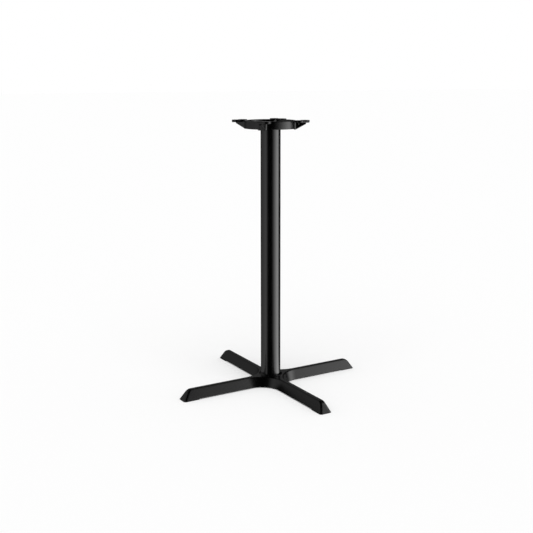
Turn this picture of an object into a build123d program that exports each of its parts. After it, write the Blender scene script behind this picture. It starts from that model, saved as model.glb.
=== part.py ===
# Bar table base: a cast cross foot, a steel column and a cast top spider,
# clamped together by one long tie rod inside the column.
# Millimetres, +Z up. The origin is on the floor, on the column's axis.
# The four legs lie along X and Y, and the four spider arms on the diagonals.
import os
from math import cos, radians, sin, tan

from build123d import *

# Overall
height = 1032.0
spread = 762.0

# Column tube
column_diameter = 76.2
column_wall = 2.0

# Cross base casting
base_height = 37.0
leg_underside = 4.0
leg_top_width = 18.0
leg_bottom_width = 47.0
leg_edge_round = 5.0
crotch_radius = 77.0
tip_slope = 58.0
tip_round = 28.0
pad_length = 57.0
pad_lift = 1.0
leg_wall = 5.5
leg_roof = 7.0
leg_end_wall = 6.5
leg_rib = 5.0
leg_rib_depth = 14.0
leg_rib_start = 150.0
leg_rib_pitch = 85.0
leg_rib_count = 2
base_hub_diameter = 44.0
base_hub_underside = 22.0

# Spigots that centre the column on both castings
spigot_height = 5.0
spigot_clearance = 0.2

# Levelling glides, one in each leg end
glide_setback = 38.0
glide_foot_diameter = 30.0
glide_foot_height = 7.0
glide_screw_diameter = 10.0
glide_screw_length = 16.0
glide_screw_grip = 4.0
glide_boss_diameter = 22.0
glide_stop_gap = 0.3
glide_hole_spare = 1.5

# Spider casting
ring_diameter = 196.0
ring_wall = 10.0
ring_height = 27.5
ring_edge = 3.0
pad_rise = 1.5
spider_hub_diameter = 92.0
spider_hub_height = 9.0
spoke_thickness = 10.0
arm_plate = 6.5
boss_diameter = 35.0
boss_lip = 1.0
outer_boss_reach = 129.5
outer_boss_side = 17.0
inner_boss_reach = 115.0
inner_boss_side = 17.0
top_screw_hole = 7.0
screw_head_seat = 14.0
web_root_width = 12.5
web_root_offset = 3.5
web_root_drop = 2.5
web_near_angle = 15.0
web_far_angle = 28.0

# Tie rod and its fasteners
rod_diameter = 10.0
rod_hole = 11.0
rod_end = 2.5
thread_clearance = 0.05
nut_across_flats = 17.0
nut_height = 8.4
washer_diameter = 20.0
washer_thickness = 2.0
clamp_washer_diameter = 32.0
clamp_washer_thickness = 3.0
spring_washer_diameter = 18.0
spring_washer_thickness = 2.6
spring_washer_split = 1.5
spring_washer_slant = 35.0

# Levels and radii that follow from the sizes above
tip_radius = spread / 2
glide_radius = tip_radius - glide_setback
ring_radius = ring_diameter / 2
outer_boss = (outer_boss_reach, outer_boss_side)
inner_boss = (inner_boss_reach, -inner_boss_side)
rim_level = height - pad_rise
ring_underside = rim_level - ring_height
arm_underside = height - arm_plate
spider_hub_top = ring_underside + spider_hub_height
column_length = ring_underside - base_height
column_bore = column_diameter - 2 * column_wall
spigot_diameter = column_bore - 2 * spigot_clearance
leg_side_run = (leg_bottom_width - leg_top_width) / 2 / (base_height - leg_underside)
rod_bore = rod_diameter + 2 * thread_clearance
QUARTERS = (0, 90, 180, 270)
DIAGONALS = (45, 135, 225, 315)


def upright(radius, bottom, top):
    """A cylinder on the Z axis between two levels."""
    return Pos(0, 0, bottom) * Cylinder(radius, top - bottom, align=(Align.CENTER, Align.CENTER, Align.MIN))


def around(solid, angles):
    """Copies of a solid turned about the Z axis."""
    return [Rot(0, 0, angle) * solid for angle in angles]


def cross_outline(level, inset):
    """The cross seen from above at one level, drawn in by an inset, with its four inner corners rounded."""
    half_width = leg_bottom_width / 2 - (level - leg_underside) * leg_side_run - inset
    reach = tip_radius + leg_bottom_width
    cross = Rectangle(2 * reach, 2 * half_width) + Rectangle(2 * half_width, 2 * reach)
    inner = [v for v in cross.vertices() if max(abs(v.X), abs(v.Y)) < reach / 2]
    return Pos(0, 0, level) * fillet(inner, crotch_radius + inset)


def leg_end_cutter(reach, lip, top, shoulder):
    """What lies beyond the end of the leg along +X: an upright lip, a slope, and a rounded shoulder up to the top."""
    slope = radians(tip_slope)
    slope_top = top - shoulder * (1 - cos(slope))
    ramp = Line((reach, lip), (reach - (slope_top - lip) / tan(slope), slope_top))
    bend = JernArc(ramp @ 1, ramp % 1, shoulder, tip_slope)
    far = tip_radius + 2 * leg_bottom_width
    close = Polyline(bend @ 1, (far, top), (far, -base_height), (reach, -base_height), (reach, lip))
    return extrude(Plane.XZ * make_face(ramp + bend + close), amount=leg_bottom_width, both=True)


def cross_base():
    """Cast iron cross: four hollow legs, a flat hub for the column and a boss in each end for a glide."""
    shell = loft([cross_outline(leg_underside, 0), cross_outline(base_height, 0)], ruled=True)
    top_edges = shell.faces().sort_by(Axis.Z)[-1].edges()
    long_edges = [e for e in top_edges if max(abs(e.center().X), abs(e.center().Y)) < tip_radius]
    shell = fillet(long_edges, leg_edge_round)
    pad = Pos(tip_radius - pad_length / 2, 0, pad_lift) * Box(
        pad_length, leg_bottom_width, leg_underside - pad_lift, align=(Align.CENTER, Align.CENTER, Align.MIN)
    )
    shell += around(pad, QUARTERS)
    end = leg_end_cutter(tip_radius, leg_underside, base_height, tip_round)
    shell -= around(end, QUARTERS)

    roof = base_height - leg_roof
    hollow = loft([cross_outline(leg_underside, leg_wall), cross_outline(roof, leg_wall)], ruled=True)
    hollow += extrude(cross_outline(leg_underside, leg_wall), amount=-leg_underside)
    inner_end = leg_end_cutter(tip_radius - leg_end_wall, leg_underside, roof, tip_round - leg_roof)
    hollow -= around(inner_end, QUARTERS)
    for index in range(leg_rib_count):
        rib = Pos(leg_rib_start + index * leg_rib_pitch, 0, roof) * Box(
            leg_rib, leg_bottom_width, leg_rib_depth, align=(Align.CENTER, Align.CENTER, Align.MAX)
        )
        hollow -= around(rib, QUARTERS)
    glide_stop = glide_foot_height + glide_stop_gap
    glide_boss = Pos(glide_radius, 0, 0) * upright(glide_boss_diameter / 2, glide_stop, roof)
    hollow -= around(glide_boss, QUARTERS)
    hollow -= upright(base_hub_diameter / 2, base_hub_underside, roof)

    casting = shell - hollow + upright(spigot_diameter / 2, base_height, base_height + spigot_height)
    casting -= upright(rod_hole / 2, 0, base_height + spigot_height)
    hole_top = glide_foot_height + glide_screw_length + glide_hole_spare
    tapped = Pos(glide_radius, 0, 0) * upright(glide_screw_diameter / 2 + thread_clearance, 0, hole_top)
    return casting - around(tapped, QUARTERS)


def column_tube():
    """Steel tube that stands on the base's hub and carries the spider."""
    outer = upright(column_diameter / 2, base_height, base_height + column_length)
    return outer - upright(column_bore / 2, base_height, base_height + column_length)


def spider_ring():
    """The ring with its lower outer edge broken, turned about the column's axis."""
    middle = ring_radius - ring_wall / 2
    section = Pos(middle, ring_underside + ring_height / 2) * Rectangle(ring_wall, ring_height)
    low_outer = section.vertices().sort_by(Axis.Y)[:2].sort_by(Axis.X)[-1:]
    return revolve(Plane.XZ * chamfer(low_outer, ring_edge), Axis.Z)


def spider_spoke():
    """A spoke along +X inside the ring, with its top falling from the rim to the hub."""
    hub_edge = spider_hub_diameter / 2
    inner = hub_edge - spoke_thickness
    outer = ring_radius - ring_wall / 2
    outline = Polyline(
        (inner, ring_underside),
        (outer, ring_underside),
        (outer, rim_level - pad_rise),
        (hub_edge, spider_hub_top),
        (inner, spider_hub_top),
        close=True,
    )
    return extrude(Plane.XZ * make_face(outline), amount=spoke_thickness / 2, both=True)


def spider_arm():
    """An arm along +X: a wedge web that runs to the outer boss, and two staggered screw bosses."""
    root = ring_radius - ring_wall / 2
    boss = boss_diameter / 2
    tip = outer_boss_reach + boss

    def side_line(reach, side, angle):
        """A point on a side of the web, whose line crosses the ring's outer face beside the arm's axis."""
        return (reach, side * web_root_width / 2 - web_root_offset + (reach - ring_radius) * tan(radians(angle)))

    footprint = make_face(
        Polyline(
            side_line(root, -1, web_near_angle),
            side_line(tip, -1, web_near_angle),
            side_line(tip, 1, web_far_angle),
            side_line(root, 1, web_far_angle),
            close=True,
        )
    )
    short_of_boss = Pos(outer_boss_reach / 2, 0) * Rectangle(outer_boss_reach, 4 * boss)
    footprint &= short_of_boss + Pos(*outer_boss) * Circle(boss - boss_lip)
    lowest = ring_underside - web_root_drop
    block = extrude(Pos(0, 0, lowest) * footprint, amount=rim_level - lowest)
    side = make_face(
        Polyline(
            (root, rim_level),
            (tip, rim_level),
            (tip, arm_underside + pad_rise),
            (ring_radius, lowest),
            (root, ring_underside),
            close=True,
        )
    )
    arm = block & extrude(Plane.XZ * side, amount=4 * boss, both=True)
    arm -= Pos(*outer_boss) * upright(screw_head_seat / 2, lowest, height)
    places = (outer_boss, inner_boss)
    arm += [Pos(*place) * upright(boss, arm_underside, height) for place in places]
    return arm - [Pos(*place) * upright(top_screw_hole / 2, lowest, height) for place in places]


def spider():
    """Cast iron spider: ring, hub, four spokes and four arms with two screw bosses each."""
    casting = spider_ring() + upright(spider_hub_diameter / 2, ring_underside, spider_hub_top)
    casting += around(spider_spoke(), DIAGONALS)
    casting += around(spider_arm(), DIAGONALS)
    casting += upright(spigot_diameter / 2, ring_underside - spigot_height, ring_underside)
    return casting - upright(rod_hole / 2, ring_underside - spigot_height, spider_hub_top)


def ring_washer(outer, inner, bottom, thickness):
    """A flat round washer on the Z axis."""
    return upright(outer / 2, bottom, bottom + thickness) - upright(inner / 2, bottom, bottom + thickness)


def hex_nut(bottom):
    """A hexagon nut on the Z axis, with its corners chamfered top and bottom."""
    corner = nut_across_flats / 2 / cos(radians(30))
    blank = extrude(Pos(0, 0, bottom) * RegularPolygon(corner, 6), amount=nut_height)
    dome = upright(corner, bottom, bottom + nut_height)
    dome = chamfer(dome.edges().filter_by(GeomType.CIRCLE), corner - nut_across_flats / 2)
    return (blank & dome) - upright(rod_bore / 2, bottom, bottom + nut_height)


def spring_washer(bottom):
    """A split spring washer, clamped flat."""
    ring = ring_washer(spring_washer_diameter, rod_hole, bottom, spring_washer_thickness)
    middle = Pos((spring_washer_diameter + rod_hole) / 4, 0, bottom + spring_washer_thickness / 2)
    slit = Box(spring_washer_diameter / 2, spring_washer_split, 3 * spring_washer_thickness)
    return ring - middle * Rot(spring_washer_slant, 0, 0) * slit


def glide_foot():
    """Round nylon foot of a glide, with a blind hole that holds the screw's end."""
    foot = upright(glide_foot_diameter / 2, 0, glide_foot_height)
    hole = glide_screw_diameter / 2 + thread_clearance
    return foot - upright(hole, glide_foot_height - glide_screw_grip, glide_foot_height)


def glide_screw():
    """Steel screw of a glide, standing in its foot."""
    bottom = glide_foot_height - glide_screw_grip
    return upright(glide_screw_diameter / 2, bottom, glide_foot_height + glide_screw_length)


# Fasteners below the base's hub, from the hub down, then those above the spider's hub, from the hub up
clamp_washer_bottom = base_hub_underside - clamp_washer_thickness
spring_washer_bottom = clamp_washer_bottom - spring_washer_thickness
bottom_nut_bottom = spring_washer_bottom - nut_height
rod_bottom = bottom_nut_bottom - rod_end
top_nut_bottom = spider_hub_top + washer_thickness
rod_top = top_nut_bottom + nut_height + rod_end

nodes = {
    "cross_base": cross_base(),
    "column_tube": column_tube(),
    "top_spider": spider(),
    "tie_rod": upright(rod_diameter / 2, rod_bottom, rod_top),
    "rod_nuts": hex_nut(top_nut_bottom) + hex_nut(bottom_nut_bottom),
    "rod_washers": ring_washer(washer_diameter, rod_hole, spider_hub_top, washer_thickness)
    + ring_washer(clamp_washer_diameter, rod_hole, clamp_washer_bottom, clamp_washer_thickness),
    "spring_washer": spring_washer(spring_washer_bottom),
}
LEG_NAMES = ("right", "back", "left", "front")
for name, angle in zip(LEG_NAMES, QUARTERS):
    place = Rot(0, 0, angle) * Pos(glide_radius, 0, 0)
    nodes["glide_foot_" + name] = place * glide_foot()
    nodes["glide_screw_" + name] = place * glide_screw()

os.makedirs("parts", exist_ok=True)
for name, solid in nodes.items():
    export_step(solid, os.path.join("parts", name + ".step"))
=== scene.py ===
# %% [markdown]
# # A bar table base, surface by surface
# The object is a bar-height pedestal without its top: a low cast cross foot, one round steel column and
# a cast spider that a table top is screwed to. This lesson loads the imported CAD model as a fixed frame,
# sets up a small studio in metres, mixes the finishes, and then works out each piece as a numpy surface
# in millimetres, where the CAD says it is.

import bmesh
import bpy
import numpy as np
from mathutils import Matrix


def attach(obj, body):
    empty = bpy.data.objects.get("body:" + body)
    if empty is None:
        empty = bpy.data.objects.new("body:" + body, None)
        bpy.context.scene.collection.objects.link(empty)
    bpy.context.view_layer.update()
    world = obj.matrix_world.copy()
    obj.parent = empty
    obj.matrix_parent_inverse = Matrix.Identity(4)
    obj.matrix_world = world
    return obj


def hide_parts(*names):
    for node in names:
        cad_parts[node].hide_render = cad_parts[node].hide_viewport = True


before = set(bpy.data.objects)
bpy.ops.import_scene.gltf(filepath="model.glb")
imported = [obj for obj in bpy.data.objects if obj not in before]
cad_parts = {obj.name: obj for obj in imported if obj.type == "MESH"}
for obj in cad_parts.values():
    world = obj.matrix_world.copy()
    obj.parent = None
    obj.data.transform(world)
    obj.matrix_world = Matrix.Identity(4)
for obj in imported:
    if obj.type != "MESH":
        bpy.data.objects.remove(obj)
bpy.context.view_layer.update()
scene = bpy.context.scene
scene.view_settings.view_transform = "Standard"
print("nodes:", sorted(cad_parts))

# %% [markdown]
# ## The camera
# The photograph looks at the base from a little above its top, with a leg pointing to the near left and
# one to the near right. The camera could look level with a large lens shift, as product shots do, but
# every other view keeps that shift, so most of it is given back as a small downward tilt.

# %% Set the camera
camera_azimuth = np.radians(-31.08)
camera_distance = 3.4174
camera_height = 1.1958
camera_tilt = np.radians(7.322)
photo_width = 533
focal_length_in_pixels = 900.15

camera_data = bpy.data.cameras.new("photo_camera")
camera_data.sensor_fit = "HORIZONTAL"
camera_data.sensor_width = 36.0
camera_data.lens = focal_length_in_pixels / photo_width * camera_data.sensor_width
camera_data.shift_x = -0.00765
camera_data.shift_y = -0.14
camera = bpy.data.objects.new("photo_camera", camera_data)
scene.collection.objects.link(camera)
camera.location = (
    camera_distance * np.sin(camera_azimuth),
    -camera_distance * np.cos(camera_azimuth),
    camera_height,
)
camera.rotation_euler = (np.pi / 2 - camera_tilt, 0, camera_azimuth)
scene.camera = camera
print("camera at", [round(c, 3) for c in camera.location], "lens", round(camera_data.lens, 2), "mm")

# %% [markdown]
# ## Surfaces on a grid
# Every piece is worked out as a grid of points: one parameter runs along a profile and the other along
# a path or round an axis. These helpers turn such grids into a mesh. A grid could be welded by hand,
# point by point, but joining neighbours by index is quicker to write and keeps the quads in order.


# %% From grids to a mesh
def grid_faces(rows, columns, wrap_rows=False, wrap_columns=False):
    """Quads between neighbours of a grid. A wrapped side also joins its last line to its first."""
    index = np.arange(rows * columns).reshape(rows, columns)
    if wrap_rows:
        index = np.vstack([index, index[:1]])
    if wrap_columns:
        index = np.hstack([index, index[:, :1]])
    corners = (index[:-1, :-1], index[:-1, 1:], index[1:, 1:], index[1:, :-1])
    return np.stack(corners, axis=-1).reshape(-1, 4)


def new_object(name, points, faces):
    """A mesh object at the origin from an array of points in metres and a list of faces."""
    mesh = bpy.data.meshes.new(name)
    mesh.from_pydata(np.asarray(points).reshape(-1, 3).tolist(), [], [list(map(int, f)) for f in faces])
    mesh.validate()
    thing = bpy.data.objects.new(name, mesh)
    scene.collection.objects.link(thing)
    return thing


def turned(profile, segments):
    """A profile of radii and levels turned about Z: point (i, j) is profile point i at angle j."""
    angle = np.linspace(0, 2 * np.pi, segments, endpoint=False)
    radius, level = np.asarray(profile).T
    x = radius[:, None] * np.cos(angle)
    y = radius[:, None] * np.sin(angle)
    return np.stack([x, y, np.broadcast_to(level[:, None], x.shape)], axis=-1)


print("a tube of 3 by 8 points has", len(grid_faces(3, 8, wrap_columns=True)), "quads")

# %% [markdown]
# ## The floor
# The base stands on a plain pale floor, in a studio often a sheet of paper that curves up behind the
# object. Such a curve could be modelled, but a flat floor that runs far back meets the white room
# without a visible line. It is an ordinary diffuse surface, so it keeps the shadow under the legs.


# %% Material helpers and floor
def node_of(tree, kind, **values):
    """A shader node with the given input values, by socket name."""
    node = tree.nodes.new(kind)
    for socket, value in values.items():
        node.inputs[socket.replace("_", " ")].default_value = value
    return node


def empty_material(name):
    """A material whose node tree holds only an output."""
    material = bpy.data.materials.new(name)
    material.use_nodes = True
    material.node_tree.nodes.clear()
    return material, material.node_tree, material.node_tree.nodes.new("ShaderNodeOutputMaterial")


floor_reach = 60.0
floor_white = (0.97, 0.97, 0.97, 1)
floor_corners = floor_reach * np.array([[-1, -1, 0], [1, -1, 0], [1, 1, 0], [-1, 1, 0]])
floor = new_object("floor", floor_corners, [(0, 1, 2, 3)])
floor_material, tree, output = empty_material("pale_floor")
shader = node_of(tree, "ShaderNodeBsdfDiffuse", Color=floor_white)
tree.links.new(shader.outputs[0], output.inputs["Surface"])
floor.data.materials.append(floor_material)
print("floor", floor_reach * 2, "m wide")

# %% [markdown]
# ## The light of the room
# Half of the light comes evenly from the white room, and the rest from one broad lamp behind the
# camera, as from a wall of windows. The room alone would do, but its shadows have no direction, and a
# lamp alone leaves the far sides dark. Together they come to about 1 on the floor, so a colour renders
# about as it is written. The lamp is kept out of mirrored rays, because the cloth in a later step draws
# the reflections.

# %% Broad lamp
full_light = 1.02
room_light = 0.5
lamp_height = np.radians(55)
lamp_spread = np.radians(70)
lamp_data = bpy.data.lights.new("broad_light", "SUN")
lamp_data.energy = np.pi * (full_light - room_light) / np.sin(lamp_height)
lamp_data.angle = lamp_spread
lamp = bpy.data.objects.new("broad_light", lamp_data)
lamp.rotation_euler = (np.pi / 2 - lamp_height, 0, camera_azimuth)
lamp.visible_glossy = False
scene.collection.objects.link(lamp)
print("lamp energy", round(lamp_data.energy, 3))

# %% [markdown]
# The room is a world of even white light. What the camera, mirrors and glass see of it is full white
# through Light Path, so the background is white without more light on the object.

# %% White room
world = bpy.data.worlds.new("white_room")
world.use_nodes = True
scene.world = world
tree = world.node_tree
tree.nodes.clear()
light_path = tree.nodes.new("ShaderNodeLightPath")
seen_white = node_of(tree, "ShaderNodeBackground", Color=(1, 1, 1, 1), Strength=1.0)
lighting_white = node_of(tree, "ShaderNodeBackground", Color=(1, 1, 1, 1), Strength=room_light)
straight = tree.nodes.new("ShaderNodeMath")
straight.operation = "MAXIMUM"
mirrored = tree.nodes.new("ShaderNodeMath")
mirrored.operation = "MAXIMUM"
tree.links.new(light_path.outputs["Is Camera Ray"], straight.inputs[0])
tree.links.new(light_path.outputs["Is Transmission Ray"], straight.inputs[1])
tree.links.new(straight.outputs[0], mirrored.inputs[0])
tree.links.new(light_path.outputs["Is Glossy Ray"], mirrored.inputs[1])
mix = tree.nodes.new("ShaderNodeMixShader")
tree.links.new(mirrored.outputs[0], mix.inputs["Fac"])
tree.links.new(lighting_white.outputs[0], mix.inputs[1])
tree.links.new(seen_white.outputs[0], mix.inputs[2])
output = tree.nodes.new("ShaderNodeOutputWorld")
tree.links.new(mix.outputs[0], output.inputs["Surface"])
print("room light", room_light)

# %% [markdown]
# ## Dark cloth and soft boxes
# A satin black object is drawn by what it mirrors. The photographer hangs dark cloth all round it and
# opens it at two places: a bright soft box on the right and a weaker, wider one on the left. A little
# light also comes in behind the object, off the wall and off the floor. Lamps could do it too, but a
# glow that is a smooth function of the compass angle and the height gives long soft edges on the
# column. The compass starts at the camera and counts to the right.


# %% How the cloth glows
def smooth(value, start, end):
    """A smooth step from 0 at start to 1 at end."""
    step = np.clip((value - start) / (end - start), 0, 1)
    return step * step * (3 - 2 * step)


def right_box(angle, high):
    """The bright box: it swells from its near edge, later higher up, to 88 degrees and ends at 116."""
    near_edge = 12 + 31 * high
    swell = smooth(angle, near_edge, 88) * smooth(angle, 116, 87)
    weaker_above = 1 - 0.39 * high
    return 4.6 * swell * weaker_above


def left_box(angle, high):
    """The weaker box: it rises within 28 degrees and dies away as a power of the way to 158 degrees."""
    near_edge = 28 + 8 * high
    tail = np.clip((158 + angle) / 100, 0, 1)
    low_glow = 1.12 * tail**1.4
    high_glow = 0.7 * tail**0.75
    return smooth(-angle, near_edge, near_edge + 28) * (low_glow * (1 - high) + high_glow * high)


def cloth_glow(angle, reach, height):
    """Glow by compass angle, distance from the axis and height.

    It adds up dark cloth, two boxes and two patches behind. The boxes change from their low form to their
    high one between 0.6 and 1.7 m. The patch on the wall is a bell curve of the angle, the one on the floor
    a soft field. What is on the wall dies away between 4.2 and 6.6 m.
    """
    dark = 0.003
    patch = 0.25
    high = smooth(height, 0.6, 1.7)
    behind = np.abs((angle + 360) % 360 - 180)
    wall_patch = patch * high * np.exp(-((behind / 25) ** 2))
    floor_patch = patch * smooth(behind, 45, 20) * smooth(reach, 0.25, 0.5) * smooth(reach, 1.6, 1.0)
    on_wall = right_box(angle, high) + left_box(angle, high) + wall_patch
    return dark + on_wall * smooth(height, 6.6, 4.2) + floor_patch


box_peaks = [float(right_box(88, 0)), float(left_box(-58, 0))]
print("near the floor the right and left box glow up to", np.round(box_peaks, 2))

# %% [markdown]
# The cloth itself is one turned profile: across the floor, up the wall and back over the top. Only
# mirrored rays see it, so it neither stands in the picture nor takes light from the floor. Its glow is
# kept as an attribute of the points, which the material reads as an emission strength.

# %% The cloth
cloth_radius = 4.0
cloth_top = 9.0
cloth_lift = 0.0004
cloth_pole = 0.02
cloth_segments = 180
floor_rows = 32
wall_rows = 36
floor_part = np.linspace([cloth_pole, cloth_lift], [cloth_radius, cloth_lift], floor_rows)
wall_part = np.linspace([cloth_radius, cloth_pole], [cloth_radius, cloth_top], wall_rows)
cloth_points = turned(np.vstack([floor_part, wall_part, [[cloth_pole, cloth_top]]]), cloth_segments)
cloth = new_object("dark_cloth", cloth_points, grid_faces(*cloth_points.shape[:2], wrap_columns=True))

across, along, level = np.moveaxis(cloth_points, -1, 0)
compass = np.degrees(np.arctan2(along, across)) + 90 - np.degrees(camera_azimuth)
compass = (compass + 180) % 360 - 180
brightness = cloth_glow(compass, np.hypot(across, along), level)
glow = cloth.data.attributes.new("glow", "FLOAT", "POINT")
glow.data.foreach_set("value", brightness.ravel().astype(np.float32))

cloth_material, tree, output = empty_material("dark_cloth")
cloth_material.cycles.emission_sampling = "NONE"
reader = tree.nodes.new("ShaderNodeAttribute")
reader.attribute_name = "glow"
shader = node_of(tree, "ShaderNodeEmission", Color=(1, 1, 1, 1))
tree.links.new(reader.outputs["Fac"], shader.inputs["Strength"])
tree.links.new(shader.outputs[0], output.inputs["Surface"])
cloth.data.materials.append(cloth_material)
cloth.visible_camera = False
cloth.visible_diffuse = False
cloth.visible_transmission = False
cloth.visible_shadow = False
print("cloth glow up to", round(float(brightness.max()), 2))

# %% [markdown]
# ## Powder coat, zinc and nylon
# Powder coat is a plastic skin baked on in one go: near black, satin, and very slightly rippled like
# orange peel. Over the sand castings the ripple is deeper and the shine more broken than over the drawn
# tube. All finishes share one kind of node group that turns object coordinates into a height and a
# roughness. Image textures would do as well, but noise needs no unwrapping.


# %% Finishes
def noise_group(name, coarse, fine, dull, shiny, broad_scale=9.0, grain_share=0.3):
    """A group that mixes two noises into a height and maps a third, broad one to a roughness."""
    group = bpy.data.node_groups.new(name, "ShaderNodeTree")
    group.interface.new_socket("Vector", in_out="INPUT", socket_type="NodeSocketVector")
    group.interface.new_socket("Height", in_out="OUTPUT", socket_type="NodeSocketFloat")
    group.interface.new_socket("Roughness", in_out="OUTPUT", socket_type="NodeSocketFloat")
    start = group.nodes.new("NodeGroupInput")
    end = group.nodes.new("NodeGroupOutput")
    ripple = node_of(group, "ShaderNodeTexNoise", Scale=coarse, Detail=1.0)
    grain = node_of(group, "ShaderNodeTexNoise", Scale=fine, Detail=2.0)
    broad = node_of(group, "ShaderNodeTexNoise", Scale=broad_scale, Detail=2.0)
    height = node_of(group, "ShaderNodeMix", Factor=grain_share)
    span = node_of(group, "ShaderNodeMapRange", From_Min=0.3, From_Max=0.7, To_Min=shiny, To_Max=dull)
    for noise in (ripple, grain, broad):
        group.links.new(start.outputs["Vector"], noise.inputs["Vector"])
    group.links.new(ripple.outputs["Fac"], height.inputs["A"])
    group.links.new(grain.outputs["Fac"], height.inputs["B"])
    group.links.new(broad.outputs["Fac"], span.inputs["Value"])
    group.links.new(height.outputs["Result"], end.inputs["Height"])
    group.links.new(span.outputs["Result"], end.inputs["Roughness"])
    return group


def finish(name, group, bump, **shader_values):
    """A principled material with constant colours whose roughness and bump come from a noise group."""
    material, tree, output = empty_material(name)
    shader = node_of(tree, "ShaderNodeBsdfPrincipled", **shader_values)
    place = tree.nodes.new("ShaderNodeTexCoord")
    surface = tree.nodes.new("ShaderNodeGroup")
    surface.node_tree = group
    relief = node_of(tree, "ShaderNodeBump", Strength=1.0, Distance=bump)
    tree.links.new(place.outputs["Object"], surface.inputs["Vector"])
    tree.links.new(surface.outputs["Height"], relief.inputs["Height"])
    tree.links.new(relief.outputs["Normal"], shader.inputs["Normal"])
    tree.links.new(surface.outputs["Roughness"], shader.inputs["Roughness"])
    tree.links.new(shader.outputs[0], output.inputs["Surface"])
    return material


near_black = (0.0007, 0.0007, 0.0007, 1)
zinc_grey = (0.55, 0.56, 0.58, 1)
nylon_black = (0.006, 0.006, 0.006, 1)
cast_skin = noise_group("cast_skin", coarse=260, fine=900, dull=0.27, shiny=0.22)
smooth_skin = noise_group("smooth_skin", coarse=320, fine=1400, dull=0.24, shiny=0.2)
plated_skin = noise_group("plated_skin", coarse=150, fine=2600, dull=0.34, shiny=0.24)
cast_coat = finish("cast_coat", cast_skin, bump=0.00003, Base_Color=near_black, Specular_IOR_Level=0.34)
tube_coat = finish("tube_coat", smooth_skin, bump=0.00001, Base_Color=near_black)
zinc = finish("zinc_plate", plated_skin, bump=0.00001, Base_Color=zinc_grey, Metallic=1.0)
nylon = finish("black_nylon", smooth_skin, bump=0.00002, Base_Color=nylon_black)
print("finishes:", cast_coat.name, tube_coat.name, zinc.name, nylon.name)

# %% [markdown]
# ## Closed skins
# Each piece is a handful of closed skins in millimetres. A skin is a grid that wraps round, with flat
# caps on its ends or with its rows joined into a ring. Blender's own primitives are closed too, but
# they would need editing by hand to follow a profile.


# %% Skins
def skin(points, ring=False):
    """Points and faces of a closed skin: columns wrap, and rows wrap too or the ends are capped."""
    rows, columns = points.shape[:2]
    faces = grid_faces(rows, columns, ring, True).tolist()
    if not ring:
        faces += [list(range(columns)), list(range((rows - 1) * columns, rows * columns))]
    return points.reshape(-1, 3), faces


def joined(skins):
    """Several skins as one list of points and faces."""
    starts = np.cumsum([0] + [len(points) for points, _ in skins])
    faces = []
    for start, (_, part) in zip(starts, skins):
        faces += [[index + start for index in face] for face in part]
    return np.concatenate([points for points, _ in skins]), faces


def placed(points, turn=0.0, shift=(0.0, 0.0, 0.0)):
    """Points shifted, then turned about Z by an angle in degrees."""
    x, y, z = np.moveaxis(np.asarray(points) + np.asarray(shift), -1, 0)
    sine, cosine = np.sin(np.radians(turn)), np.cos(np.radians(turn))
    return np.stack([cosine * x - sine * y, sine * x + cosine * y, z], axis=-1)


print("a capped tube of 2 by 6 points has", len(skin(turned([(1, 0), (1, 1)], 6))[1]), "faces")

# %% [markdown]
# Cast, sawn and pressed edges are never sharp, so profiles are polygons whose corners give way to arcs.
# A Bevel modifier rounds edges as well, but an arc in the profile has its exact radius and adds no
# points elsewhere.


# %% Rounded profiles
def rounded(corners, radii, steps=5):
    """A closed outline whose corners give way to arcs tangent to both neighbours."""
    corner = np.asarray(corners, float)
    radius = np.broadcast_to(np.asarray(radii, float), len(corner))
    back = np.roll(corner, 1, axis=0) - corner
    ahead = np.roll(corner, -1, axis=0) - corner
    back /= np.linalg.norm(back, axis=1, keepdims=True)
    ahead /= np.linalg.norm(ahead, axis=1, keepdims=True)
    half = np.arccos(np.clip((back * ahead).sum(axis=1), -1, 1)) / 2
    middle = (back + ahead) / np.linalg.norm(back + ahead, axis=1, keepdims=True)
    centre = corner + middle * (radius / np.sin(half))[:, None]
    first = corner + back * (radius / np.tan(half))[:, None] - centre
    last = corner + ahead * (radius / np.tan(half))[:, None] - centre
    start = np.arctan2(first[:, 1], first[:, 0])
    sweep = (np.arctan2(last[:, 1], last[:, 0]) - start + np.pi) % (2 * np.pi) - np.pi
    angle = start[:, None] + sweep[:, None] * np.linspace(0, 1, steps + 1)
    arc = centre[:, None] + radius[:, None, None] * np.stack([np.cos(angle), np.sin(angle)], axis=-1)
    return arc.reshape(-1, 2)


def turned_solid(corners, radii, segments):
    """A solid turned about Z: its outline runs from the axis over rounded corners and back to the axis.

    Its points on the axis are left out, so that the flat caps of a skin close it there.
    """
    axis_round = 0.01
    low, high = (0.0, corners[0][1]), (0.0, corners[-1][1])
    outline = rounded([low, *corners, high], [axis_round, *radii, axis_round])
    return turned(outline[outline[:, 0] > 2 * axis_round], segments)


def plug(radius, bottom, top, segments=64, edge=0.6):
    """A turned disc or post with slightly rounded edges."""
    return turned_solid([(radius, bottom), (radius, top)], [edge, edge], segments)


print("a plug of 10 by 20 mm has a grid of", plug(10, 0, 20).shape[:2], "points")

# %% [markdown]
# ## From skins to a piece
# Where skins overlap, an exact Boolean fuses them into one, as the metal of a casting is one, and cuts
# the holes in the same go. Leaving them overlapping would look alike from outside, but not under a
# section. A finished piece stands for one CAD node and rides on that node's body.


# %% Pieces
soft_crease = 32
weld_distance = 2e-7


def clean(mesh, crease):
    """Welds coincident points, turns faces outwards and shades smooth up to a crease in degrees."""
    work = bmesh.new()
    work.from_mesh(mesh)
    bmesh.ops.remove_doubles(work, verts=work.verts, dist=weld_distance)
    bmesh.ops.recalc_face_normals(work, faces=work.faces)
    work.to_mesh(mesh)
    work.free()
    mesh.shade_smooth()
    mesh.set_sharp_from_angle(angle=np.radians(crease))


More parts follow.
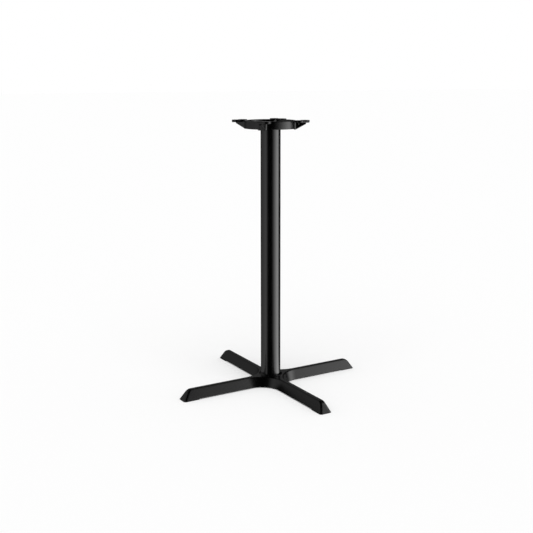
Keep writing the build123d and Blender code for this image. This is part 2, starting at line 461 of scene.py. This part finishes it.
def fused(thing, cuts):
    """Replaces an object's mesh by the union of its skins less the cuts, both worked out exactly."""
    cut_points, cut_faces = cuts
    knife = new_object("knife", cut_points * 0.001, cut_faces)
    clean(knife.data, soft_crease)
    step = thing.modifiers.new("fuse", "BOOLEAN")
    step.solver = "EXACT"
    step.operation = "DIFFERENCE"
    step.use_self = True
    step.object = knife
    result = thing.evaluated_get(bpy.context.evaluated_depsgraph_get())
    mesh = bpy.data.meshes.new_from_object(result)
    rough = thing.data
    thing.modifiers.clear()
    thing.data = mesh
    bpy.data.meshes.remove(rough)
    bpy.data.meshes.remove(knife.data)
    mesh.name = thing.name


def piece(name, skins, material, node, body="frame", cuts=(), crease=soft_crease):
    """A finished piece from skins in millimetres: it stands for a CAD node and rides its body."""
    points, faces = joined(skins)
    thing = new_object(name, points * 0.001, faces)
    clean(thing.data, crease)
    if cuts:
        fused(thing, joined(cuts))
        clean(thing.data, crease)
    thing.data.materials.clear()
    thing.data.materials.append(material)
    flat = thing.modifiers.new("flat_faces", "WEIGHTED_NORMAL")
    flat.keep_sharp = True
    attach(thing, body)
    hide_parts(node)
    box = np.array(thing.bound_box) * 1000
    low, high = box.min(axis=0), box.max(axis=0)
    print(name, len(thing.data.polygons), "faces, from", low.round(1), "to", high.round(1))


print("pieces shade smooth up to", soft_crease, "degrees")

# %% [markdown]
# ## The column
# A drawn steel tube, three inches across, sawn square and lightly deburred. It is a thin closed profile
# turned about the axis. A cylinder with a Solidify modifier would do, but the profile gives the small
# rounded edges of the cut for nothing.

# %% The column
column_radius = 38.1
column_wall = 2.0
column_bottom = 39.5
column_top = 1003.0
column_bore = column_radius - column_wall
deburring = 0.5
tube_wall = rounded(
    [
        (column_bore, column_bottom),
        (column_radius, column_bottom),
        (column_radius, column_top),
        (column_bore, column_top),
    ],
    deburring,
)
piece("column", [skin(turned(tube_wall, 160), ring=True)], tube_coat, "column_tube")

# %% [markdown]
# ## The cross foot
# One iron casting with four legs. Its sides lean in so that it leaves the sand, its long top edges are
# rounded over, and its ends rise in a straight slope that bends over into the top. Level by level its
# outline is the same cross with other sizes, so the skin is a stack of outlines: a leg's half width,
# the radius in the crotch between two legs, and how far the leg reaches all depend on the height. A box
# model with a Bevel and a Subsurf could come close, but the arcs would be guesses.

# %% Sizes of the foot
foot_top = column_bottom
foot_underside = 4.0
foot_reach = 383.5
half_bottom = 23.7
half_top = 9.2
side_lean = (half_bottom - half_top) / (foot_top - foot_underside)
edge_round = 6.5
crotch_radius = 77.0
crotch_growth = 20.0
end_slope = np.radians(58.0)
end_round = 28.0
end_corner = 9.0


def half_width(level):
    """Half the width of a leg: it shrinks in proportion to the height above the underside."""
    return half_bottom - side_lean * (level - foot_underside)


def end_reach(level, lip, top, shoulder):
    """Reach of a leg's end: a straight slope up from the lip, then an arc over into the level top."""
    slope_top = top - shoulder * (1 - np.cos(end_slope))
    slope = lip - (np.minimum(level, slope_top) - foot_underside) / np.tan(end_slope)
    bend = np.arccos(np.clip(1 - (top - np.clip(level, slope_top, top)) / shoulder, -1, 1))
    return slope - shoulder * (np.sin(end_slope) - np.sin(bend))


print("leg", 2 * half_bottom, "mm wide below and", 2 * half_top, "mm above, with sharp edges")

# %% [markdown]
# One outline of the cross is made of a leg's end, its rounded corner, its straight side and the arc of
# the crotch. Only a quarter has to be worked out. It could be mirrored and turned with modifiers, but
# turning it by swapping x and y keeps the whole outline one closed row of the grid.


# %% Outlines of the cross
def cross_rows(half, crotch, reach, corner):
    """One outline per row: a leg's end, its corner, its side, the crotch and out along the next leg.

    A quarter is worked out and turned four times. The crotch is an arc tangent to the sides of both legs.
    """
    half, crotch, reach, corner = (np.asarray(a, float)[:, None] for a in (half, crotch, reach, corner))
    tip = np.linspace(0, 1, 5)[:-1]
    turn = np.linspace(0, np.pi / 2, 7)
    run = np.linspace(0, 1, 68)[1:-1]
    bend = np.linspace(1.5 * np.pi, np.pi, 25)
    inner = half + crotch
    out_x = np.hstack([
        reach + 0 * tip,
        reach - corner + corner * np.cos(turn),
        reach - corner + run * (inner - reach + corner),
    ])
    out_y = np.hstack([tip * (half - corner), half - corner + corner * np.sin(turn), half + 0 * run])
    arc_x = inner + crotch * np.cos(bend)
    arc_y = inner + crotch * np.sin(bend)
    x = np.hstack([out_x, arc_x, out_y[:, :0:-1]])
    y = np.hstack([out_y, arc_y, out_x[:, :0:-1]])
    return np.hstack([x, -y, -x, y]), np.hstack([y, x, -y, -x])


sample_x, sample_y = cross_rows([half_bottom], [crotch_radius], [foot_reach], [end_corner])
nearest = np.hypot(sample_x, sample_y).min()
print("an outline has", sample_x.size, "points and comes within", nearest.round(1), "mm of the axis")

# %% [markdown]
# The outside runs from the flat top over the rounded edges and down the leaning sides to the rim. Near
# the ends the rim steps down to the pads that the leg stands on, and the pads go on with the lean of
# the sides. The step could be a separate block, but moving the last rows of the grid down keeps it one
# skin.

# %% Outside of the foot
lowest_side = 6.0
round_start = np.arctan(side_lean)
swing = np.linspace(np.pi / 2, round_start, 9)
round_level = foot_top - edge_round + edge_round * np.sin(swing)
round_middle = half_width(foot_top - edge_round) - edge_round / np.cos(round_start)
round_half = round_middle + edge_round * np.cos(swing)
side_level = np.linspace(foot_top, lowest_side, 19)
side_level = side_level[side_level < round_level[-1] - 0.5]
rim_level = foot_underside + np.array([0.6, 0.2, 0.0])
rim_half = half_width(rim_level) - np.array([0.0, 0.05, 0.4])
outer_level = np.concatenate([round_level, side_level, rim_level])
outer_half = np.concatenate([round_half, half_width(side_level), rim_half])
growth = crotch_growth * (outer_level - foot_underside) / (foot_top - foot_underside)
outer_crotch = crotch_radius + growth + half_width(outer_level) - outer_half
outer_corner = np.minimum(end_corner, 0.7 * outer_half)
outer_end = end_reach(outer_level, foot_reach, foot_top, end_round)
outer_x, outer_y = cross_rows(outer_half, outer_crotch, outer_end, outer_corner)

pad_start = 324.0
pad_level = 0.2
on_pad = np.hypot(outer_x, outer_y) > pad_start
drop = np.where(outer_level <= rim_level[0], foot_underside - pad_level, 0.0)
pad_end = end_reach(outer_level - drop, foot_reach, foot_top, end_round)
pad_x, pad_y = cross_rows(outer_half + drop * side_lean, outer_crotch, pad_end, outer_corner)
outer_x = np.where(on_pad, pad_x, outer_x)
outer_y = np.where(on_pad, pad_y, outer_y)
outer_z = outer_level[:, None] - drop[:, None] * on_pad
print("outside of the foot", outer_x.shape, "points, reach", outer_x.max().round(1), "mm")

# %% [markdown]
# Inside, the same outlines stand back by the thickness of the wall and go up from the rim to the roof
# of the hollow. A Solidify modifier could make the wall from the outside alone, but it would thicken
# the roof and the ends alike.

# %% Hollow of the foot
foot_wall = 5.5
roof = 32.0
end_wall = 6.5
inner_end_round = 21.0
inner_corner = 6.0
inner_level = np.concatenate([[foot_underside], np.linspace(lowest_side, roof, 14)])
inner_half = half_width(inner_level) - foot_wall
inner_end = end_reach(inner_level, foot_reach - end_wall, roof, inner_end_round)
inner_crotch = np.full_like(inner_half, crotch_radius + foot_wall)
inner_corners = np.minimum(inner_corner, 0.6 * inner_half)
inner_x, inner_y = cross_rows(inner_half, inner_crotch, inner_end, inner_corners)
inner_z = np.repeat(inner_level[:, None], inner_x.shape[1], axis=1)
inner_z[0, np.hypot(inner_x[0], inner_y[0]) > pad_start] = pad_level
pairs = ((outer_x, inner_x), (outer_y, inner_y), (outer_z, inner_z))
foot_grid = np.stack([np.vstack(pair) for pair in pairs], axis=-1)
print("foot skin", foot_grid.shape[:2], "grid")

# %% [markdown]
# Inside the hollow, cross ribs stiffen each leg, a boss near each end is drilled for a levelling glide
# and a hub in the middle takes the tie rod. A low spigot on top centres the column, and a small conical
# collar hides the joint. Ribs are rounded sections carried across the leg. Bosses, hub and collar are
# turned profiles.

# %% Ribs, bosses and holes of the foot
rib_depth = 14.0
rib_thickness = 5.0
rib_places = (150, 235)
wall_bite = 2.0


def rib(reach):
    """A rib across a leg: a rounded section carried sideways, as wide at each level as the hollow."""
    half, low, high = rib_thickness / 2, roof - rib_depth, roof + wall_bite
    section = rounded([(-half, low), (half, low), (half, high), (-half, high)], [1.5, 1.5, 0.2, 0.2])
    across = np.linspace(-1, 1, 5)[:, None]
    x = reach + section[:, 0] + 0 * across
    y = across * (half_width(section[:, 1]) - foot_wall + wall_bite)
    z = section[:, 1] + 0 * across
    return np.stack([x, y, z], axis=-1)


quarters = (0, 90, 180, 270)
rod_hole = 5.5
spigot_radius = column_bore - 0.2
spigot_top = foot_top + 5.0
hub_underside = 22.0
hub_radius = 22.0
hub_step = 35.0
collar_radius = 45.0
collar_top = 45.2
hub = turned_solid(
    [
        (hub_radius, hub_underside),
        (hub_radius, hub_step),
        (spigot_radius, hub_step),
        (spigot_radius, spigot_top),
    ],
    [1.0, 0.2, 0.2, 0.8],
    96,
)
collar_section = rounded(
    [
        (column_radius, foot_top - 2),
        (collar_radius, foot_top - 2),
        (collar_radius, foot_top + 0.3),
        (column_radius + 0.6, collar_top),
        (column_radius, collar_top),
    ],
    [0.2, 0.2, 0.4, 0.4, 0.2],
)
glide_reach = 343.0
glide_foot_height = 7.0
glide_boss_radius = 11.0
glide_hole = 5.05
glide_hole_top = 24.5
glide_boss = plug(glide_boss_radius, glide_foot_height + 0.3, roof + 1)
glide_bore = plug(glide_hole, glide_foot_height - 2, glide_hole_top, 40, 0.3)
foot_skins = [skin(foot_grid), skin(hub), skin(turned(collar_section, 128), ring=True)]
foot_skins += [skin(placed(rib(reach), turn)) for turn in quarters for reach in rib_places]
foot_skins += [skin(placed(glide_boss, turn, (glide_reach, 0, 0))) for turn in quarters]
foot_cuts = [skin(plug(rod_hole, hub_underside - 7, spigot_top + 5.5, 48))]
foot_cuts += [skin(placed(glide_bore, turn, (glide_reach, 0, 0))) for turn in quarters]
piece("foot_casting", foot_skins, cast_coat, "cross_base", cuts=foot_cuts)

# %% [markdown]
# ## The spider
# The second casting: a ring stands round a hub over the column, and four spokes join hub and ring.
# Outside each spoke an arm runs on, a deep rib that tapers outwards under a plate with two round screw
# bosses, one further out and one nearer in on the other side. Ring and hub are turned. Spokes, ribs and
# plates are rounded four-sided sections whose sides move along the arm. Bevelled boxes could stand in
# for them, but they would not taper.

# %% Ring, hub and spokes
ring_radius = 98.0
ring_bore_below = 85.0
ring_bore_above = 90.0
ring_bottom = 999.5
ring_top = 1030.5
ring_section = rounded(
    [
        (ring_bore_below, ring_bottom),
        (ring_radius, ring_bottom),
        (ring_radius, ring_top),
        (ring_bore_above, ring_top),
    ],
    [1.5, 2.0, 3.5, 1.2],
)
top_hub_radius = 46.0
top_hub_height = 9.0
top_hub_top = column_top + top_hub_height
top_hub = turned_solid(
    [
        (spigot_radius, column_top - 5),
        (spigot_radius, column_top),
        (top_hub_radius, column_top),
        (top_hub_radius, top_hub_top),
    ],
    [0.8, 0.3, 0.8, 1.5],
    96,
)


def beam(along, near, far, low, high, edge=2.0, draft=0.0):
    """A four-sided section with rounded edges carried along X. Its sides lean out upwards by the draft."""
    sides = [np.broadcast_to(np.asarray(side, float), along.shape) for side in (near, far, low, high)]
    near, far, low, high = (side[:, None] for side in sides)
    edge = np.minimum(edge, 0.45 * np.minimum(far - near, high - low))
    quarter = np.linspace(0, np.pi / 2, 6)
    swing = np.concatenate([quarter, quarter + np.pi / 2, quarter + np.pi, quarter + 1.5 * np.pi])
    across = np.repeat([1.0, -1.0, -1.0, 1.0], 6)
    up = np.repeat([1.0, 1.0, -1.0, -1.0], 6)
    y = (near + far) / 2 + across * ((far - near) / 2 - edge) + edge * np.cos(swing)
    z = (low + high) / 2 + up * ((high - low) / 2 - edge) + edge * np.sin(swing)
    y = y + across * (z - low.min()) * draft
    return np.stack([along[:, None] + 0 * y, y, z], axis=-1)


spoke_half = 5.0
spoke_top_at_hub = 1019.0
arm_top = 1029.0
spoke_run = np.linspace(top_hub_radius - 10, ring_radius - 5, 12)
spoke_top = np.interp(spoke_run, [top_hub_radius - 2, ring_radius - 7], [spoke_top_at_hub, arm_top])
spoke = beam(spoke_run, -spoke_half, spoke_half, column_top + 0.1, spoke_top, 1.5)
print("ring", ring_section.shape, "hub", top_hub.shape, "spoke", spoke.shape)

# %% [markdown]
# The rib leaves the ring a little off centre with a fillet on each side, and its underside rises in a
# straight line from below the ring. A loft of a few sections would do, but a formula for each side
# gives the taper and the fillet their exact sizes.

# %% Ribs of the arms
boss_radius = 17.5
outer_boss = (129.5, 17.0)
inner_boss = (115.0, -17.0)
arm_start = 92.0
arm_tip = 137.0
arm_taper = np.radians(12.5)
arm_middle = -4.5
arm_root_half = 13.0
arm_draft = 0.03
root_fillet = 6.0
fillet_run = ring_radius + root_fillet * np.linspace(0, 1, 7) ** 1.5
straight_run = np.linspace(fillet_run[-1] + 2, arm_tip, 21)
arm_run = np.concatenate([[arm_start, ring_radius - 2], fillet_run, straight_run])
to_fillet_end = np.clip(ring_radius + root_fillet - arm_run, 0, root_fillet)
flare = root_fillet - np.sqrt(root_fillet**2 - to_fillet_end**2)
arm_half = arm_root_half - (arm_run - ring_radius) * np.tan(arm_taper) + flare
arm_low = np.interp(arm_run, [arm_start, ring_radius, arm_tip], [1001.0, 996.8, 1017.8])
arm = beam(arm_run, arm_middle - arm_half, arm_middle + arm_half, arm_low, arm_top, draft=arm_draft)
print("rib", arm.shape, "points, tip", (2 * arm_half[-1]).round(1), "mm wide")

# %% [markdown]
# The plate spreads from the ring to both bosses. Between the bosses its edge is the straight line that
# touches both circles, and past the middle of the outer boss it follows that circle. A hull round both
# circles could make it too, but it would not keep clear of the bosses' edges.

# %% Plates of the arms
plate_bottom = 1022.5
plate_top = 1029.5
plate_root_near = -9.75
plate_root_far = 2.75
spread_near = 0.45
spread_far = np.tan(np.radians(28))
leaves_boss = (130.8, -23.9)
plate_run = np.concatenate([[ring_radius - 2], np.linspace(100, 145, 30)])
from_ring = plate_run - ring_radius
boss_line = (outer_boss[1] - inner_boss[1]) / (outer_boss[0] - inner_boss[0])
between_bosses = leaves_boss[1] + (plate_run - leaves_boss[0]) * boss_line
to_inner_boss = np.maximum(leaves_boss[1], plate_root_near - spread_near * from_ring)
plate_near = np.maximum(to_inner_boss, between_bosses)
past_middle = np.clip(plate_run - outer_boss[0], 0, None)
boss_edge = outer_boss[1] + np.sqrt((boss_radius - 1) ** 2 - past_middle**2)
plate_far = plate_root_far + spread_far * from_ring
plate_far = np.where(past_middle > 0, np.minimum(plate_far, boss_edge), plate_far)
plate = beam(plate_run, plate_near, plate_far, plate_bottom, plate_top, 1.2)
print("plate", plate.shape, "points, up to", (plate_far - plate_near).max().round(1), "mm wide")

# %% [markdown]
# Four arms stand between the legs, at 45 degrees to them. Their bosses are drilled through for the
# table top's screws, and the hub for the tie rod. All of it is fused into one skin.

# %% The spider
boss_bottom = 1024.0
boss_top = 1032.0
screw_hole_radius = 3.5
screw_boss = plug(boss_radius, boss_bottom, boss_top, 72, 1.0)
screw_hole = plug(screw_hole_radius, boss_bottom - 9, boss_top + 8, 40, 0.01)
spider_skins = [skin(turned(ring_section, 160), ring=True), skin(top_hub)]
spider_cuts = [skin(plug(rod_hole, column_top - 13, top_hub_top + 8, 48))]
for turn in (45, 135, 225, 315):
    spider_skins += [skin(placed(part, turn)) for part in (spoke, arm, plate)]
    for place in (outer_boss, inner_boss):
        spider_skins.append(skin(placed(screw_boss, turn, (*place, 0))))
        spider_cuts.append(skin(placed(screw_hole, turn, (*place, 0))))
piece("spider_casting", spider_skins, cast_coat, "top_spider", cuts=spider_cuts)

# %% [markdown]
# ## Rod, nuts and washers
# A zinc plated rod pulls the three parts together. Its ends are threaded, with a nut and washer on the
# spider's hub and a clamp washer, a split spring washer and a nut under the foot. The thread is a
# helicoid: the radius dips with the height less the angle's share of the pitch. A Screw modifier makes
# one too, but its ends need trimming.


# %% Threads
def threaded(radius, bottom, top, spans, pitch=1.5, depth=0.85, chamfer=1.2, segments=36):
    """A rod whose radius dips in a triangle wave of level / pitch - angle / turn inside the spans.

    The wave is stretched and clipped, so crests and roots are flat. A 45 degree cone chamfers both ends.
    """
    fine = [np.arange(low, high, pitch / 8) for low, high in spans]
    level = np.unique(np.concatenate([[bottom, top, top - 0.01, bottom + 0.01], *fine]).round(4))
    angle = np.linspace(0, 2 * np.pi, segments, endpoint=False)
    phase = (level[:, None] / pitch - angle / (2 * np.pi)) % 1
    dip = depth * np.clip(1.25 * (1 - np.abs(2 * phase - 1)) - 0.125, 0, 1)
    inside = sum(((level >= low) & (level <= high)).astype(float) for low, high in spans)
    point = np.clip(np.minimum(level - bottom, top - level), 0, chamfer)[:, None]
    reach = np.minimum(radius - dip * inside[:, None], radius - chamfer + point)
    x, y = reach * np.cos(angle), reach * np.sin(angle)
    return np.stack([x, y, level[:, None] + 0 * x], axis=-1)


thread_radius = 4.98
rod_bottom = 5.5
rod_top = 1024.9
lower_thread_end = 32.0
upper_thread_start = 1004.0
rod_threads = [(rod_bottom, lower_thread_end), (upper_thread_start, rod_top)]
rod = threaded(thread_radius, rod_bottom, rod_top, rod_threads)
piece("tie_bolt", [skin(rod)], zinc, "tie_rod", crease=60)

# %% [markdown]
# A nut is turned too, but its radius also depends on the angle: it follows the hexagon, and where the
# corners would stick out a 30 degree cone cuts them down. A six-sided cylinder would be a nut at a
# distance, but the cone's curved edges are what the eye looks for up close.


# %% Nuts
def nut(bottom, top, flats=17.0, face_share=0.97, bore=5.05, sink_width=0.7, sink_depth=0.6):
    """A hexagon nut: a closed profile whose outer rows follow the hexagon and a cone at each end."""
    angle = np.radians(np.arange(0, 360, 2.5))
    hexagon = flats / 2 / np.cos(np.radians(np.degrees(angle) % 60 - 30))
    face = np.full_like(angle, flats / 2 * face_share)
    drop = (hexagon - face) * np.tan(np.radians(30))
    mouth = np.full_like(angle, bore + sink_width)
    hole = np.full_like(angle, bore)
    level_row = np.zeros_like(angle)
    radius = np.stack([hole, mouth, face, hexagon, hexagon, face, mouth, hole])
    rise = np.stack([level_row + sink_depth, level_row, level_row, drop])
    level = np.concatenate([bottom + rise, top - rise[::-1]])
    return np.stack([radius * np.cos(angle), radius * np.sin(angle), level], axis=-1)


nut_height = 8.4
flat_washer = 2.0
clamp_washer = 3.0
spring_height = 2.6
clamp_bottom = hub_underside - clamp_washer
spring_bottom = clamp_bottom - spring_height
top_nut_seat = top_hub_top + flat_washer
nuts = [nut(top_nut_seat, top_nut_seat + nut_height), nut(spring_bottom - nut_height, spring_bottom)]
nut_skins = [skin(part, ring=True) for part in nuts]
piece("rod_nut_pair", nut_skins, zinc, "rod_nuts", crease=20)

# %% [markdown]
# Flat washers are punched rings with broken edges, turned about the axis. The spring washer is the same
# section carried round not quite a full turn, and its ends are cut on the slant. Cutting a gap into a
# ring would do, but here the gap is only where the path stops.


# %% Washers
def washer_section(bore, outside, bottom, top, edge):
    """A rectangle with broken edges, as radii and levels."""
    return rounded([(bore, bottom), (outside, bottom), (outside, top), (bore, top)], edge, 3)


def split_washer(bore, outside, bottom, top, gap=1.5, slant=35.0):
    """A spring washer: the section's angle runs round less the gap and shifts with the height."""
    section = washer_section(bore, outside, bottom, top, 0.3)
    middle = (bore + outside) / 2
    half_gap = gap / 2 / middle
    skew = (section[:, 1] - (bottom + top) / 2) * np.tan(np.radians(slant)) / middle
    turn = np.linspace(half_gap, 2 * np.pi - half_gap, 73)[:, None] - skew
    x, y = section[:, 0] * np.cos(turn), section[:, 0] * np.sin(turn)
    return np.stack([x, y, section[:, 1] + 0 * x], axis=-1)


flat_radius = 10.0
clamp_radius = 16.0
spring_radius = 9.0
flat_sections = [
    washer_section(rod_hole, flat_radius, top_hub_top, top_nut_seat, 0.35),
    washer_section(rod_hole, clamp_radius, clamp_bottom, hub_underside, 0.35),
]
washers = [skin(turned(section, 72), ring=True) for section in flat_sections]
piece("rod_washer_pair", washers, zinc, "rod_washers")
spring = split_washer(rod_hole, spring_radius, spring_bottom, clamp_bottom)
piece("spring_ring", [skin(spring)], zinc, "spring_washer")

# %% [markdown]
# ## Levelling glides
# Under each leg end a nylon foot on a threaded steel screw turns in and out to level the table. The
# foot is a turned disc with a rounded sole, and the screw uses the same thread as the rod. One glide
# could be copied as an object, but each pair rides its own body, so each gets its own mesh in its own
# place.

# %% Glides
glide_foot_radius = 15.0
screw_bottom = 3.0
screw_top = 23.0
screw_thread_start = 7.5
glide_foot = turned_solid([(glide_foot_radius, 0), (glide_foot_radius, glide_foot_height)], [2.0, 1.0], 72)
glide_screw = threaded(thread_radius, screw_bottom, screw_top, [(screw_thread_start, screw_top)])
for leg, turn in zip(("right", "back", "left", "front"), quarters):
    pad = placed(glide_foot, turn, (glide_reach, 0, 0))
    screw = placed(glide_screw, turn, (glide_reach, 0, 0))
    body = "glide_" + leg
    piece("glide_pad_" + leg, [skin(pad)], nylon, "glide_foot_" + leg, body)
    piece("glide_bolt_" + leg, [skin(screw)], zinc, "glide_screw_" + leg, body, crease=60)
